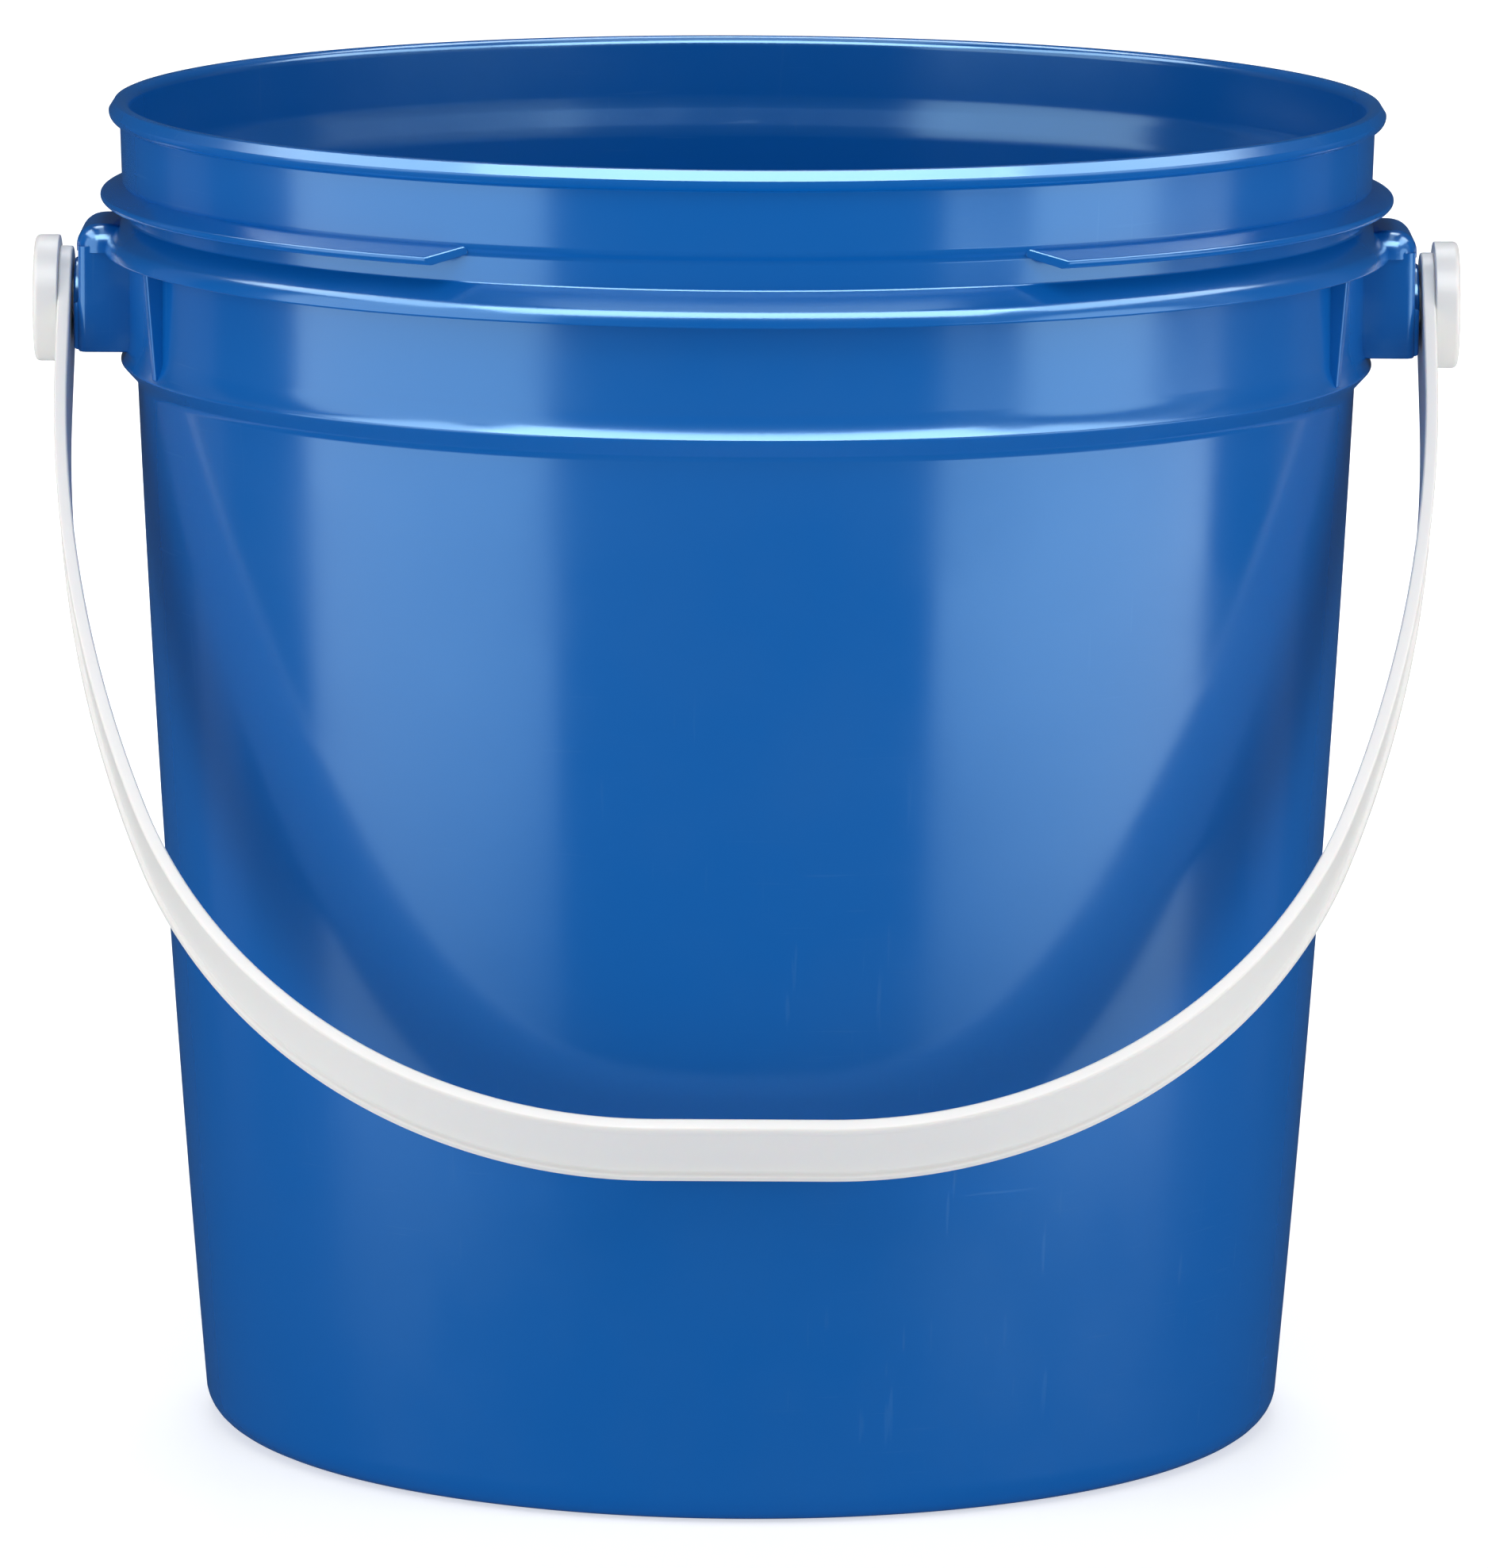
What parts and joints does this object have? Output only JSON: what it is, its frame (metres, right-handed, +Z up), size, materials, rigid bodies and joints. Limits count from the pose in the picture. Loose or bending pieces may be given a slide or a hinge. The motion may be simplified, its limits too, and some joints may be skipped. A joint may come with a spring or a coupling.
{
  "type": "wash bucket",
  "caption": "Round tapered plastic wash bucket with a rolled rim, lid lugs, a skirt with hollow ears, and a strap bail that swings on snap-in pivot buttons.",
  "frame": {"origin": "centre of the resting face, on the pail's axis", "axes": "+Z up along the pail's axis; X runs through both bail pivots; at rest the bail hangs in front, on the -Y side"},
  "size_m": [0.2178, 0.1998, 0.204],
  "materials": {
    "pail_plastic": "glossy moulded blue polyethylene",
    "bail_plastic": "satin white polyethylene",
    "button_plastic": "satin white polyethylene"
  },
  "bodies": {
    "pail": {"pail": "pail_plastic"},
    "bail": {"bail_strap": "bail_plastic", "pivot_button_left": "button_plastic", "pivot_button_right": "button_plastic"}
  },
  "joints": [
    {"name": "bail_swing", "type": "hinge", "parent": "pail", "child": "bail", "pos_m": [0, 0, 0.1729], "axis": [-1, 0, 0], "range_deg": [0, 280.7]}
  ]
}
